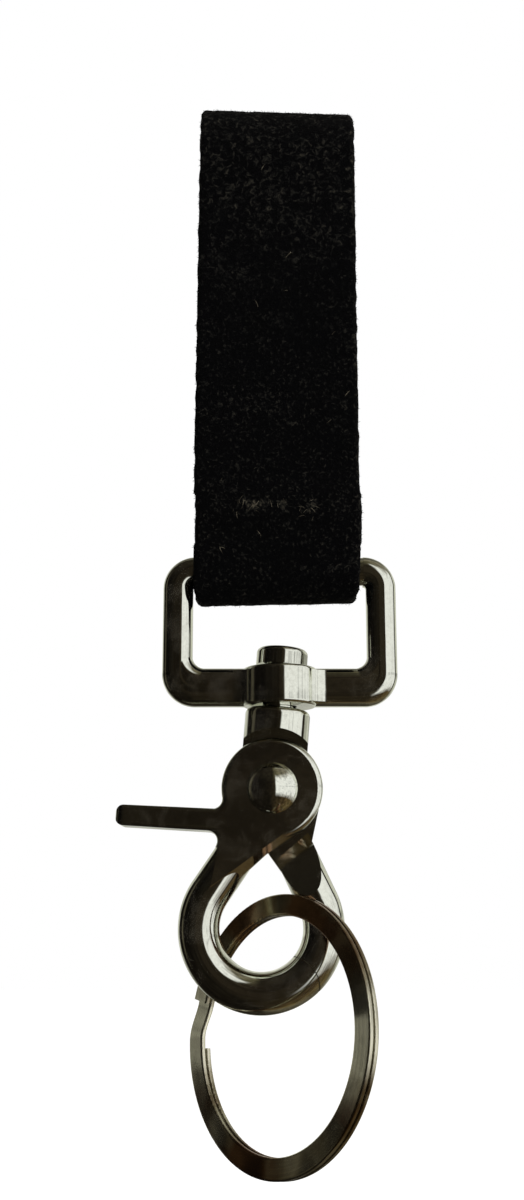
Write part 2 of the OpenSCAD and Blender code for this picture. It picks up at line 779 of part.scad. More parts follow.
// Short length of the wire that climbs from one coil to the other
module ring_step(low, high) {
    steps = 14;
    corner = 4;
    lap = 0.15;
    trim = 0.01;
    half = [ring_w / 2 - trim, ring_t / 2 - trim];
    section = [for (q = [0:3], k = [0:corner])
        let (turn = 90 * q + 90 * k / corner, sx = (q == 0 || q == 3) ? 1 : -1, sy = q < 2 ? 1 : -1)
        [sx * (half[0] - ring_edge_r) + ring_edge_r * cos(turn),
            sy * (half[1] - ring_edge_r) + ring_edge_r * sin(turn)]];
    sides = len(section);
    rings = [for (i = [0:steps])
        let (s = i / steps, turn = joggle_from - lap + (joggle_to - joggle_from + 2 * lap) * s,
            z = low + (high - low) * (3 * s * s - 2 * s * s * s))
        for (p = section) let (r = ring_d / 2 - ring_w / 2 + p[0]) [r * cos(turn), r * sin(turn), z + p[1]]];
    walls = [for (i = [0:steps - 1], k = [0:sides - 1])
        let (a = i * sides + k, b = i * sides + (k + 1) % sides)
        each [[a, b, b + sides], [a, b + sides, a + sides]]];
    polyhedron(rings, concat(walls, [[for (k = [sides - 1:-1:0]) k], [for (k = [0:sides - 1]) steps * sides + k]]));
}

strap();
stitching();
loop_frame();
fixed_jaw();
trigger_jaw();
pivot_rivet();
torsion_spring();
split_ring();
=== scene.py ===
"""Belt key clip in black suede and nickel-plated die casting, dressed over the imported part."""
import json
import math

import bpy
import numpy as np
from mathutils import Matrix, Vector, noise


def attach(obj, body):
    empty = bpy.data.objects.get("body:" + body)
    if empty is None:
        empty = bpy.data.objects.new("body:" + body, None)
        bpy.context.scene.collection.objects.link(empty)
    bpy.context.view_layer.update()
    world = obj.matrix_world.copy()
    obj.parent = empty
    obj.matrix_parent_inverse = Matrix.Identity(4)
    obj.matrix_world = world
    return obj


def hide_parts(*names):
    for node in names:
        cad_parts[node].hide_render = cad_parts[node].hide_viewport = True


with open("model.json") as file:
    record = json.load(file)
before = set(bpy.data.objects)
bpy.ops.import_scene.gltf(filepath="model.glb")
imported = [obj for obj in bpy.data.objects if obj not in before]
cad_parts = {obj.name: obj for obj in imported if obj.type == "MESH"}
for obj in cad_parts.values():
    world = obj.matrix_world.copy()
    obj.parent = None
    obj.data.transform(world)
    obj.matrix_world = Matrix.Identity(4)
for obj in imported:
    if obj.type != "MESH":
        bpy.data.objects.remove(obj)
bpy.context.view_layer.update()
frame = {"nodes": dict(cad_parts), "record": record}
MM = 0.001

# Split ring as it hangs: its middle, and its own right-hand side
ring_joint = next(joint for joint in frame["record"]["behaviour"]["joints"] if joint["name"] == "ring_turn")
RING_MID = tuple(ring_joint["pos_m"])
RING_RIGHT = tuple(Vector((0, 0, 1)).cross(Vector(ring_joint["axis"])).normalized())

# Camera: from the front, below the middle of the clip, tipped up at it
CAMERA_PLACE = (-2.6, -199.4, -124.3)  # millimetres
CAMERA_TIP = 13.0  # degrees
SENSOR_H, LENS = 36.0, 40.455  # millimetres
camera_data = bpy.data.cameras.new("camera")
camera_data.sensor_fit = "VERTICAL"
camera_data.sensor_height = SENSOR_H
camera_data.lens = LENS
camera = bpy.data.objects.new("camera", camera_data)
camera.location = Vector(CAMERA_PLACE) * MM
camera.rotation_euler = (math.radians(90 + CAMERA_TIP), 0, 0)
bpy.context.scene.collection.objects.link(camera)
bpy.context.scene.camera = camera


# Node trees
def linear(colour, alpha=1.0):
    """sRGB hex to a linear colour."""
    parts = [int(colour[i:i + 2], 16) / 255 for i in (1, 3, 5)]
    return tuple(p / 12.92 if p <= 0.04045 else ((p + 0.055) / 1.055) ** 2.4 for p in parts) + (alpha,)


def add(tree, kind, inputs=None, ramp=None, **settings):
    """One node with its settings, its values and its links."""
    made = tree.nodes.new(kind)
    for name, value in settings.items():
        setattr(made, name, value)
    for name, value in (inputs or {}).items():
        if isinstance(value, bpy.types.NodeSocket):
            tree.links.new(value, made.inputs[name])
        else:
            made.inputs[name].default_value = value
    if ramp:
        stops = made.color_ramp.elements
        while len(stops) < len(ramp):
            stops.new(0.5)
        for stop, (place, colour) in zip(stops, ramp):
            stop.position = place
            stop.color = linear(colour)
    return made


def new_material(name):
    """An empty material and its node tree."""
    material = bpy.data.materials.new(name)
    material.use_nodes = True
    material.node_tree.nodes.clear()
    return material, material.node_tree


def per(size_mm):
    """Texture scale at which a pattern repeats about once in this many millimetres."""
    return 1000.0 / size_mm


# Where the suede is worn, and where it is painted paler as painted light, in millimetres
TOP_LIT_LOW, TOP_LIT_HIGH = -56, -12  # painted light: the top fold is painted paler between these heights, as if lit from above
SCUFF_Z, SCUFF_REACH = -66.2, 1.7  # scuffed line along the stitches, and how far it fades up and down
SCUFFS = ((-3.8, 3.2, 1.0), (0.5, 1.2, 0.8), (4.7, 2.2, 0.75), (-9.0, 2.0, 0.4))  # middle, half length, strength
EDGE_LIT_FROM, EDGE_LIT_FULL = 10.6, 11.7  # painted highlight: the cut edge on the right is painted paler between these, as if lit from the right


# Suede: split hide sanded to a nap. Near black, with fine flecks where a few fibre tips catch the light. Over the
# stretched top fold they lie in clumps just under 1 mm across, and the fold is painted paler there as painted light
# from above. The nap is worn in ragged spots along the stitches, and the cut edge on the right is painted paler as a
# painted highlight of the light from the right.
def make_suede():
    # The first and last of these are painted light: the top fold painted paler as if lit from above, and the right
    # cut edge painted paler as if lit from the right
    top_painted_light, patch_shade, row_shade, edge_painted_light = 0.045, 0.14, 0.24, 0.05
    material, tree = new_material("black_split_suede_sanded")
    place = add(tree, "ShaderNodeTexCoord").outputs["Object"]
    spot = add(tree, "ShaderNodeSeparateXYZ", {0: place})
    flecks = add(tree, "ShaderNodeTexNoise", {"Vector": place, "Scale": per(0.5), "Detail": 3.0, "Roughness": 0.6,
                                              "Distortion": 0.6})
    clumps = add(tree, "ShaderNodeTexNoise", {"Vector": place, "Scale": per(0.85), "Detail": 4.0, "Roughness": 0.6,
                                              "Distortion": 0.9})
    patches = add(tree, "ShaderNodeTexNoise", {"Vector": place, "Scale": per(4.5), "Detail": 2.0})
    # The top fold: this mask picks the clumped fibre tips there, and it also paints the tone paler as painted light
    # from above
    top_fold_and_light = add(tree, "ShaderNodeMapRange",
               {"Value": spot.outputs["Z"], "From Min": TOP_LIT_LOW * MM, "From Max": TOP_LIT_HIGH * MM},
               interpolation_type="SMOOTHSTEP")
    from_row = add(tree, "ShaderNodeMath", {0: spot.outputs["Z"], 1: -SCUFF_Z * MM}, operation="ADD")
    far = add(tree, "ShaderNodeMath", {0: from_row.outputs[0]}, operation="ABSOLUTE")
    row = add(tree, "ShaderNodeMapRange", {"Value": far.outputs[0], "From Min": SCUFF_REACH * MM, "From Max": 0.0,
                                           "To Min": 0.0, "To Max": row_shade})
    scuffed = 0.0
    for mid, half, strength in SCUFFS:
        aside = add(tree, "ShaderNodeMath", {0: spot.outputs["X"], 1: -mid * MM}, operation="ADD")
        away = add(tree, "ShaderNodeMath", {0: aside.outputs[0]}, operation="ABSOLUTE")
        scuff = add(tree, "ShaderNodeMapRange", {"Value": away.outputs[0], "From Min": half * MM, "From Max": 0.0,
                                                 "To Min": 0.0, "To Max": strength})
        scuffed = add(tree, "ShaderNodeMath", {0: scuff.outputs["Result"], 1: scuffed}, operation="ADD").outputs[0]
    # Painted highlight: the cut edge on the right is painted paler, as if lit from the right
    right_edge_highlight = add(tree, "ShaderNodeMapRange", {"Value": spot.outputs["X"], "From Min": EDGE_LIT_FROM * MM,
                                            "From Max": EDGE_LIT_FULL * MM, "To Min": 0.0, "To Max": edge_painted_light})
    tips = add(tree, "ShaderNodeMix", {"Factor": top_fold_and_light.outputs["Result"], 2: flecks.outputs["Fac"],
                                       3: clumps.outputs["Fac"]}, data_type="FLOAT")
    # Painted light: the tone over the top fold is lifted paler, as if lit from above; fibre and shade carry it on
    tips_and_top_light = add(tree, "ShaderNodeMath", {0: top_fold_and_light.outputs["Result"], 1: top_painted_light, 2: tips.outputs[0]},
                 operation="MULTIPLY_ADD")
    fibre = add(tree, "ShaderNodeMath", {0: patches.outputs["Fac"], 1: patch_shade, 2: tips_and_top_light.outputs[0]},
                operation="MULTIPLY_ADD")
    # Real wear along the stitch row plus the painted highlight on the right cut edge, summed together as worn
    worn = add(tree, "ShaderNodeMath", {0: row.outputs["Result"], 1: scuffed, 2: right_edge_highlight.outputs["Result"]},
               operation="MULTIPLY_ADD")
    shade = add(tree, "ShaderNodeMath", {0: fibre.outputs[0], 1: worn.outputs[0]}, operation="ADD")
    tone = add(tree, "ShaderNodeValToRGB", {"Fac": shade.outputs[0]},
               ramp=[(0.59, "#030304"), (0.66, "#090909"), (0.73, "#1b1a17"), (0.82, "#2e2b24"), (0.96, "#5a5347")])
    bump = add(tree, "ShaderNodeBump", {"Height": tips.outputs[0], "Distance": 0.35 * MM, "Strength": 0.7})
    skin = add(tree, "ShaderNodeBsdfPrincipled",
               {"Base Color": tone.outputs["Color"], "Roughness": 0.95, "Specular IOR Level": 0.1,
                "Sheen Weight": 0.02, "Sheen Roughness": 0.6, "Sheen Tint": linear("#6a6254"),
                "Normal": bump.outputs["Normal"]})
    add(tree, "ShaderNodeOutputMaterial", {"Surface": skin.outputs["BSDF"]})
    return material


# Single fibres of the same hide: near black for the nap, pale for the few worn loose ends
def make_fibre(name, low, high):
    material, tree = new_material(name)
    place = add(tree, "ShaderNodeTexCoord").outputs["Object"]
    flecks = add(tree, "ShaderNodeTexNoise", {"Vector": place, "Scale": per(1.2), "Detail": 3.0, "Roughness": 0.7})
    tone = add(tree, "ShaderNodeValToRGB", {"Fac": flecks.outputs["Fac"]}, ramp=[(0.45, low), (0.72, high)])
    skin = add(tree, "ShaderNodeBsdfPrincipled",
               {"Base Color": tone.outputs["Color"], "Roughness": 0.9, "Specular IOR Level": 0.15})
    add(tree, "ShaderNodeOutputMaterial", {"Surface": skin.outputs["BSDF"]})
    return material


# Bonded nylon thread: near black, waxed, with a dull gloss on its twist
def make_thread():
    material, tree = new_material("black_bonded_nylon_thread")
    place = add(tree, "ShaderNodeTexCoord").outputs["Object"]
    twist = add(tree, "ShaderNodeTexWave", {"Vector": place, "Scale": per(2.2), "Distortion": 1.0},
                wave_type="BANDS", bands_direction="DIAGONAL")
    tone = add(tree, "ShaderNodeValToRGB", {"Fac": twist.outputs["Fac"]}, ramp=[(0.2, "#050506"), (0.9, "#0e0e0f")])
    bump = add(tree, "ShaderNodeBump", {"Height": twist.outputs["Fac"], "Distance": 0.06 * MM, "Strength": 0.7})
    skin = add(tree, "ShaderNodeBsdfPrincipled",
               {"Base Color": tone.outputs["Color"], "Roughness": 0.8, "Specular IOR Level": 0.2,
                "Normal": bump.outputs["Normal"]})
    add(tree, "ShaderNodeOutputMaterial", {"Surface": skin.outputs["BSDF"]})
    return material


# Bright nickel plate on polished metal: a clear mirror, black where the room is dark. Hand polishing leaves a faint
# ripple, fine scratches haze it, and handling leaves dried greasy smears a few millimetres across, which dull the
# mirror and show as a grey veil.
def make_nickel_plate(name, bright, dull, rough, ripple):
    smear_dulls, smear_covers = 0.06, 0.085
    material, tree = new_material(name)
    place = add(tree, "ShaderNodeTexCoord").outputs["Object"]
    waves = add(tree, "ShaderNodeTexNoise", {"Vector": place, "Scale": per(3.2), "Detail": 2.0})
    haze = add(tree, "ShaderNodeTexNoise", {"Vector": place, "Scale": per(0.5), "Detail": 4.0, "Roughness": 0.7})
    smears = add(tree, "ShaderNodeTexNoise", {"Vector": place, "Scale": per(5), "Detail": 6.0, "Roughness": 0.72,
                                              "Distortion": 0.4})
    clean = add(tree, "ShaderNodeMapRange", {"Value": haze.outputs["Fac"], "From Min": 0.35, "From Max": 0.75,
                                             "To Min": rough * 0.8, "To Max": rough * 1.5})
    greasy = add(tree, "ShaderNodeMapRange", {"Value": smears.outputs["Fac"], "From Min": 0.50, "From Max": 0.66})
    gloss = add(tree, "ShaderNodeMath", {0: greasy.outputs["Result"], 1: smear_dulls, 2: clean.outputs["Result"]},
                operation="MULTIPLY_ADD")
    cover = add(tree, "ShaderNodeMath", {0: greasy.outputs["Result"], 1: smear_covers}, operation="MULTIPLY")
    tone = add(tree, "ShaderNodeValToRGB", {"Fac": haze.outputs["Fac"]}, ramp=[(0.4, bright), (0.7, dull)])
    bump = add(tree, "ShaderNodeBump", {"Height": waves.outputs["Fac"], "Distance": ripple * MM, "Strength": 0.5})
    skin = add(tree, "ShaderNodeBsdfPrincipled",
               {"Base Color": tone.outputs["Color"], "Metallic": 1.0, "Roughness": gloss.outputs[0],
                "Normal": bump.outputs["Normal"]})
    grease = add(tree, "ShaderNodeBsdfDiffuse", {"Color": linear("#857d6c")})
    smeared = add(tree, "ShaderNodeMixShader",
                  {0: cover.outputs[0], 1: skin.outputs["BSDF"], 2: grease.outputs["BSDF"]})
    add(tree, "ShaderNodeOutputMaterial", {"Surface": smeared.outputs[0]})
    return material


# Spring wire: hard-drawn steel, bright, with fine die lines
def make_spring_steel():
    material, tree = new_material("bright_drawn_spring_steel")
    place = add(tree, "ShaderNodeTexCoord").outputs["Object"]
    lines = add(tree, "ShaderNodeTexNoise", {"Vector": place, "Scale": per(0.3), "Detail": 2.0})
    tone = add(tree, "ShaderNodeValToRGB", {"Fac": lines.outputs["Fac"]}, ramp=[(0.3, "#8f8d86"), (0.7, "#b9b6ad")])
    skin = add(tree, "ShaderNodeBsdfPrincipled",
               {"Base Color": tone.outputs["Color"], "Metallic": 1.0, "Roughness": 0.3})
    add(tree, "ShaderNodeOutputMaterial", {"Surface": skin.outputs["BSDF"]})
    return material


# Split ring: flat-rolled steel wire, nickel plated and brushed along its length, with brown tarnish in places. The
# brush lines run round the ring 0.12 mm apart, so each highlight is drawn out across the wire. The rolled face is a
# little conical on its left and right sides, where its colour is also painted brighter as a painted highlight, and
# wanders along the ring.
def make_ring_nickel():
    line_pitch, lines_drawn_out = 0.12, 1.6
    # The first is a painted highlight: the plate colour is painted brighter at the ring's left and right sides. The
    # second leans the normal there into a cone.
    side_painted_highlight, side_cone = -0.2, -0.42
    material, tree = new_material("nickel_plated_flat_wire_brushed")
    place = add(tree, "ShaderNodeTexCoord").outputs["Object"]
    own = add(tree, "ShaderNodeVectorMath", {0: place, 1: RING_MID}, operation="SUBTRACT")
    reach = add(tree, "ShaderNodeVectorMath", {0: own.outputs[0]}, operation="LENGTH")
    along = add(tree, "ShaderNodeVectorMath", {0: own.outputs[0]}, operation="NORMALIZE")
    across = add(tree, "ShaderNodeVectorTransform", {"Vector": along.outputs[0]}, vector_type="VECTOR",
                 convert_from="OBJECT", convert_to="WORLD")
    slow = add(tree, "ShaderNodeVectorMath", {0: along.outputs[0], "Scale": lines_drawn_out}, operation="SCALE")
    spread = add(tree, "ShaderNodeMath", {0: reach.outputs["Value"], 1: per(line_pitch)}, operation="MULTIPLY")
    lift = add(tree, "ShaderNodeCombineXYZ", {"Z": spread.outputs[0]})
    lines_at = add(tree, "ShaderNodeVectorMath", {0: slow.outputs[0], 1: lift.outputs[0]}, operation="ADD")
    lines = add(tree, "ShaderNodeTexNoise", {"Vector": lines_at.outputs[0], "Scale": 1.0, "Detail": 2.0})
    waves = add(tree, "ShaderNodeTexNoise", {"Vector": place, "Scale": per(9), "Detail": 1.0})
    stains = add(tree, "ShaderNodeTexNoise", {"Vector": place, "Scale": per(11), "Detail": 4.0, "Roughness": 0.55})
    # From 0 at the ring's top and bottom to 1 at its left and right ends, as the fifth power of the way aside
    aside = add(tree, "ShaderNodeVectorMath", {0: along.outputs[0], 1: RING_RIGHT}, operation="DOT_PRODUCT")
    squared = add(tree, "ShaderNodeMath", {0: aside.outputs["Value"], 1: 2.0}, operation="POWER")
    at_side = add(tree, "ShaderNodeMath", {0: squared.outputs[0], 1: 2.5}, operation="POWER")
    # Painted highlight: the plate colour is made brighter at the left and right sides, on top of the random brown
    # tarnish
    tarnish_and_side_highlight = add(tree, "ShaderNodeMath", {0: at_side.outputs[0], 1: side_painted_highlight, 2: stains.outputs["Fac"]},
                  operation="MULTIPLY_ADD")
    plate = add(tree, "ShaderNodeValToRGB", {"Fac": tarnish_and_side_highlight.outputs[0]},
                ramp=[(0.30, "#f4efd6"), (0.42, "#b4a98e"), (0.54, "#86664a")])
    shade = add(tree, "ShaderNodeMapRange", {"Value": lines.outputs["Fac"], "From Min": 0.3, "From Max": 0.7,
                                             "To Min": 1.0, "To Max": 0.72})
    tone = add(tree, "ShaderNodeMix", {"Factor": 1.0, 6: plate.outputs["Color"], 7: shade.outputs["Result"]},
               data_type="RGBA", blend_type="MULTIPLY")
    slope = add(tree, "ShaderNodeMath", {0: at_side.outputs[0], 1: aside.outputs["Value"]}, operation="MULTIPLY")
    cone = add(tree, "ShaderNodeMath", {0: slope.outputs[0], 1: side_cone}, operation="MULTIPLY")
    lean = add(tree, "ShaderNodeVectorMath", {0: across.outputs[0], "Scale": cone.outputs[0]}, operation="SCALE")
    leant = add(tree, "ShaderNodeVectorMath", {0: add(tree, "ShaderNodeNewGeometry").outputs["Normal"],
                                               1: lean.outputs[0]}, operation="ADD")
    rolled = add(tree, "ShaderNodeVectorMath", {0: leant.outputs[0]}, operation="NORMALIZE")
    bent = add(tree, "ShaderNodeBump", {"Height": waves.outputs["Fac"], "Distance": 1.1 * MM, "Strength": 1.0,
                                        "Normal": rolled.outputs[0]})
    bump = add(tree, "ShaderNodeBump", {"Height": lines.outputs["Fac"], "Distance": 0.006 * MM, "Strength": 0.5,
                                        "Normal": bent.outputs["Normal"]})
    skin = add(tree, "ShaderNodeBsdfPrincipled",
               {"Base Color": tone.outputs[2], "Metallic": 1.0, "Roughness": 0.25, "Anisotropic": 0.75,
                "Tangent": across.outputs[0], "Normal": bump.outputs["Normal"]})
    add(tree, "ShaderNodeOutputMaterial", {"Surface": skin.outputs["BSDF"]})
    return material


suede = make_suede()
nap = make_fibre("suede_nap_fibres", "#040405", "#161512")
loose = make_fibre("worn_suede_fibre_ends", "#3d382e", "#8d8571")
thread = make_thread()
casting = make_nickel_plate("bright_nickel_on_zinc_casting", "#e4e6da", "#d8d9cd", rough=0.05, ripple=0.05)
rivet_plate = make_nickel_plate("bright_nickel_on_steel_rivet", "#e6e8dc", "#dadbd0", rough=0.045, ripple=0.04)
spring_steel = make_spring_steel()
ring_nickel = make_ring_nickel()
for node_name, finish in (("stitching", thread), ("loop_frame", casting), ("fixed_jaw", casting),
                          ("trigger_jaw", casting), ("pivot_rivet", rivet_plate),
                          ("torsion_spring", spring_steel), ("split_ring", ring_nickel)):
    cad_mesh = frame["nodes"][node_name].data
    cad_mesh.materials.clear()
    cad_mesh.materials.append(finish)

# Strap: its path in the plane of Y and Z, in millimetres and degrees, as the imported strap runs
STRAP_W, STRAP_T = 24.5, 2.5
LOOP_R, BAR_R = 9.5, 2.25
STRAP_DROP, FRAME_SET = 75.0, 4.5
STITCH_UP, TAIL_OVER, BACK_UNDER = 9.3, 3.6, 3.0
STITCH_PITCH = 2.5
WRAP_TURN, LAYER_STEP = 40.0, 2.52
WRAP_PULL_SHARE = 1.2
PATH_STEP = 0.6


def on_circle(mid, r, turn):
    """A place on a circle, at a turn in degrees."""
    return np.array(mid) + r * np.array([math.cos(math.radians(turn)), math.sin(math.radians(turn))])


def bend(p, q, p_way, q_way, pull, steps):
    """A smooth leg from p to q that leaves and arrives along the given ways."""
    s = np.linspace(0, 1, steps + 1)[:, None]
    return ((2 * s ** 3 - 3 * s ** 2 + 1) * p + (s ** 3 - 2 * s ** 2 + s) * pull * np.array(p_way)
            + (3 * s ** 2 - 2 * s ** 3) * q + (s ** 3 - s ** 2) * pull * np.array(q_way))


half_w, half_t = STRAP_W / 2, STRAP_T / 2
fold_r, wrap_r = LOOP_R + half_t, BAR_R + half_t
fold_mid, bar_mid = np.array([0, -LOOP_R]), np.array([-FRAME_SET, -STRAP_DROP])
span = bar_mid - fold_mid
front_turn = (math.degrees(math.atan2(span[1], span[0]))
              - math.degrees(math.acos((fold_r - wrap_r) / np.linalg.norm(span))) + 360)
stack_out = np.array([math.cos(math.radians(front_turn)), math.sin(math.radians(front_turn))])
stack_up = np.array([-stack_out[1], stack_out[0]]) * np.sign(stack_out[0])
front_low = bar_mid + wrap_r * stack_out
stitch_rise = STITCH_UP / stack_up[1]


def on_stack(layer, rise):
    """The middle of a layer, 0 at the front, 1 for the tail and 2 at the back, at a rise above the bar."""
    return front_low + rise * stack_up - layer * LAYER_STEP * stack_out


def strap_path():
    """The strap's middle line from its open end at the back, over the top fold and round the bar to its tail."""
    back_bend, back_top = on_stack(2, stitch_rise + TAIL_OVER), on_circle(fold_mid, fold_r, 0)
    wrap_end, tail_foot = on_circle(bar_mid, wrap_r, WRAP_TURN), on_stack(1, stitch_rise - BACK_UNDER - STRAP_T / 4)
    legs = [
        [on_stack(2, stitch_rise - BACK_UNDER)],
        bend(back_bend, back_top, stack_up, (0, 1), np.linalg.norm(back_top - back_bend), 60),
        [on_circle(fold_mid, fold_r, t) for t in np.linspace(0, front_turn, 61)],
        [on_circle(bar_mid, wrap_r, t) for t in np.linspace(front_turn, WRAP_TURN + 360, 41)],
        bend(wrap_end, tail_foot, (-math.sin(math.radians(WRAP_TURN)), math.cos(math.radians(WRAP_TURN))),
             stack_up, WRAP_PULL_SHARE * np.linalg.norm(tail_foot - wrap_end), 20),
        [on_stack(1, stitch_rise + TAIL_OVER)]]
    points = np.vstack([np.array(leg) for leg in legs])
    keep = np.concatenate([[True], np.linalg.norm(np.diff(points, axis=0), axis=1) > 1e-6])
    points = points[keep]
    along = np.concatenate([[0], np.cumsum(np.linalg.norm(np.diff(points, axis=0), axis=1))])
    even = np.linspace(0, along[-1], int(along[-1] / PATH_STEP) + 1)
    return np.stack([np.interp(even, along, points[:, k]) for k in (0, 1)], -1)


# The strap's section and how its suede gives, in millimetres
EDGE_R, EDGE_SIDES, FACE_POINTS = 0.75, 4, 45  # rounded cut edges, and the points across each face
END_ROUNDING = 0.35  # drawn in all round at both ends
FOLD_PULL, FOLD_PULL_REACH = 0.75, 1.7  # corners drawn in at the lower fold
TOP_PULL, TOP_PULL_FROM, TOP_PULL_OVER = 0.28, -68, 58  # the strap narrows from here up
TAIL_FROM_SHARE, TAIL_CLEAR, TAIL_ASIDE = 0.8, 3, 0.3  # the tail lies a little to the right
LUMP, LUMP_SCALE, GRAIN, GRAIN_SCALE = 0.08, 0.62, 0.06, 1.9  # lumps in the hide, broad and fine
EDGE_BAND, EDGE_WAVE, EDGE_LUMP_SHARE = 0.9, 0.2, 0.6  # how the cut edges wander
ROW_FAR, ROW_MARGIN, ROW_FADE = 7, 1.2, 2.5  # round the stitch row, up to its ends
SWELL, SWELL_REACH, GROOVE, GROOVE_REACH = 0.46, 3.2, 0.22, 0.55  # layers bulge beside the thread, which sinks in
BAR_NEAR, BAR_CLEAR, BAR_LUMP_SHARE = 1.5, 0.12, 0.3  # the inner face stays clear of the frame's bar
POST_NEAR, POST_SIDE = 4.5, 12.62  # half the room between the side bars of the swinging frame, less a touch
HANG_LEFT, HANG_MORE, HANG_OVER = 0.22, 0.28, 80  # the strap hangs to the left, and more so lower down
TOP_SLOPE, TOP_SAG, TOP_REACH = 0.035, 0.22, 18  # the top fold sags towards the right
FOOT_SLOPE, FOOT_REACH = 0.02, 3  # and so does the lower fold towards the left


def share_of(value):
    """A value kept from 0 to 1."""
    return min(max(value, 0), 1)


def strap_section():
    """The strap's outline across, as pairs of a way aside and a way out, with both cut edges rounded."""
    flat_w, flat_t = half_w - EDGE_R, half_t - EDGE_R
    quarter = np.linspace(0, math.pi / 2, EDGE_SIDES + 2)
    half = [(x, half_t) for x in np.linspace(-flat_w, flat_w, FACE_POINTS)]
    half += [(flat_w + EDGE_R * math.sin(a), flat_t + EDGE_R * math.cos(a)) for a in quarter[1:]]
    half += [(half_w, n) for n in np.linspace(flat_t, -flat_t, 4)[1:-1]]
    half += [(flat_w + EDGE_R * math.cos(a), -flat_t - EDGE_R * math.sin(a)) for a in quarter[:-1]]
    return np.array(half + [(-x, -n) for x, n in half])


def face_push(x, n, at, lumps):
    """How far the strap's face stands out at one place of its path."""
    if n > 0 and np.linalg.norm(at - bar_mid) < wrap_r + BAR_NEAR:
        return -BAR_CLEAR - BAR_LUMP_SHARE * abs(lumps)
    push = lumps
    for layer in (0, 2):
        away = np.linalg.norm(at - on_stack(layer, stitch_rise))
        if away < ROW_FAR and n < 0:
            on_thread = 0.5 + 0.5 * math.cos(2 * math.pi * (x + STITCH_PITCH / 2) / STITCH_PITCH)
            inside = share_of((half_w - ROW_MARGIN - abs(x)) / ROW_FADE)
            push += SWELL * inside * math.exp(-(away / SWELL_REACH) ** 4)
            push -= GROOVE * inside * on_thread * math.exp(-(away / GROOVE_REACH) ** 2)
    return push


def on_strap(x, n, at, out_way, fold_gap):
    """Where a point of the section ends up: x aside and n out from the path's place at."""
    y, z = at + n * out_way
    spot = Vector((x, y, z))
    lumps = (noise.noise(spot * LUMP_SCALE) * LUMP
             + noise.noise(spot * GRAIN_SCALE + Vector((7, 3, 1))) * GRAIN)
    edge_wave = 0.0
    if abs(x) / half_w > EDGE_BAND:
        wave_at = Vector((3.1 * math.copysign(1, x), y * LUMP_SCALE, z * LUMP_SCALE))
        edge_wave = math.copysign(1, x) * (noise.noise(wave_at) * EDGE_WAVE + lumps * EDGE_LUMP_SHARE)
    if abs(n) > half_t - EDGE_R:
        push = math.copysign(1, n) * face_push(x, n, at, lumps)
        y += out_way[0] * push
        z += out_way[1] * push
    x += edge_wave
    x -= HANG_LEFT + HANG_MORE * share_of(-z / HANG_OVER)
    if np.linalg.norm(at - bar_mid) < wrap_r + POST_NEAR:
        x = max(x, -POST_SIDE)
    z -= (TOP_SLOPE * x + TOP_SAG) * max(0.0, 1 - max(0.0, -z) / TOP_REACH)
    z += FOOT_SLOPE * (x - half_w) * math.exp(-(fold_gap / FOOT_REACH) ** 2)
    return x, y, z


def build_strap():
    """A band of suede with soft cut edges, lumpy sides, pulled-in corners below and a pinched stitch row."""
    path, section = strap_path(), strap_section()
    way = np.gradient(path, axis=0)
    way /= np.linalg.norm(way, axis=1)[:, None]
    outward = np.stack([-way[:, 1], way[:, 0]], -1)
    count, around = len(path), len(section)
    low_fold = bar_mid - np.array([0, wrap_r])
    verts = np.zeros((count, around, 3))
    for i, at in enumerate(path):
        shrink = END_ROUNDING if i in (0, count - 1) else 0.0
        fold_gap = np.linalg.norm(at - low_fold)
        pull = (FOLD_PULL * math.exp(-(fold_gap / FOLD_PULL_REACH) ** 2)
                + TOP_PULL * share_of((at[1] - TOP_PULL_FROM) / TOP_PULL_OVER))
        in_tail = i > count * TAIL_FROM_SHARE and at[1] > bar_mid[1] + TAIL_CLEAR
        for k, (x, n) in enumerate(section):
            x = x * (1 - (pull + shrink) / half_w) + (TAIL_ASIDE if in_tail else 0.0)
            verts[i, k] = on_strap(x, n * (1 - shrink / half_t), at, outward[i], fold_gap)
    faces = []
    for i in range(count - 1):
        for k in range(around):
            j = (k + 1) % around
            faces.append((i * around + k, i * around + j, (i + 1) * around + j, (i + 1) * around + k))
    flat = verts.reshape(-1, 3).tolist()
    for i in (0, count - 1):
        mid = len(flat)
        flat.append(verts[i].mean(0).tolist())
        for k in range(around):
            a, b = i * around + k, i * around + (k + 1) % around
            faces.append((b, a, mid) if i == 0 else (a, b, mid))
    mesh = bpy.data.meshes.new("strap_suede")
    mesh.from_pydata([[c * MM for c in v] for v in flat], [], faces)
    mesh.validate()
    mesh.shade_smooth()
    strap = bpy.data.objects.new("strap_suede", mesh)
    bpy.context.scene.collection.objects.link(strap)
    mesh.materials.append(suede)
    return strap


def fix_outward(obj):
    """Turn the faces outwards where the closed shell's volume comes out negative."""
    mesh = obj.data
    mesh.calc_loop_triangles()
    co = np.array([v.co for v in mesh.vertices])
    tri = np.array([t.vertices[:] for t in mesh.loop_triangles])
    a, b, c = co[tri[:, 0]], co[tri[:, 1]], co[tri[:, 2]]
    if np.einsum("ij,ij->i", a, np.cross(b, c)).sum() < 0:
        mesh.flip_normals()


strap = build_strap()
fix_outward(strap)

# Fibres: short bent ones over the whole strap for its nap, long pale ones along the stitches and a few strays
FIBRE_SIDES = 3
FRONT_Y = -7  # millimetres; nearer than this is the strap's front
CLUMP_MM = 2.6
TILT, FULL_TURN = 0.35, 6.283  # radians; how far fibres lean, and any way round


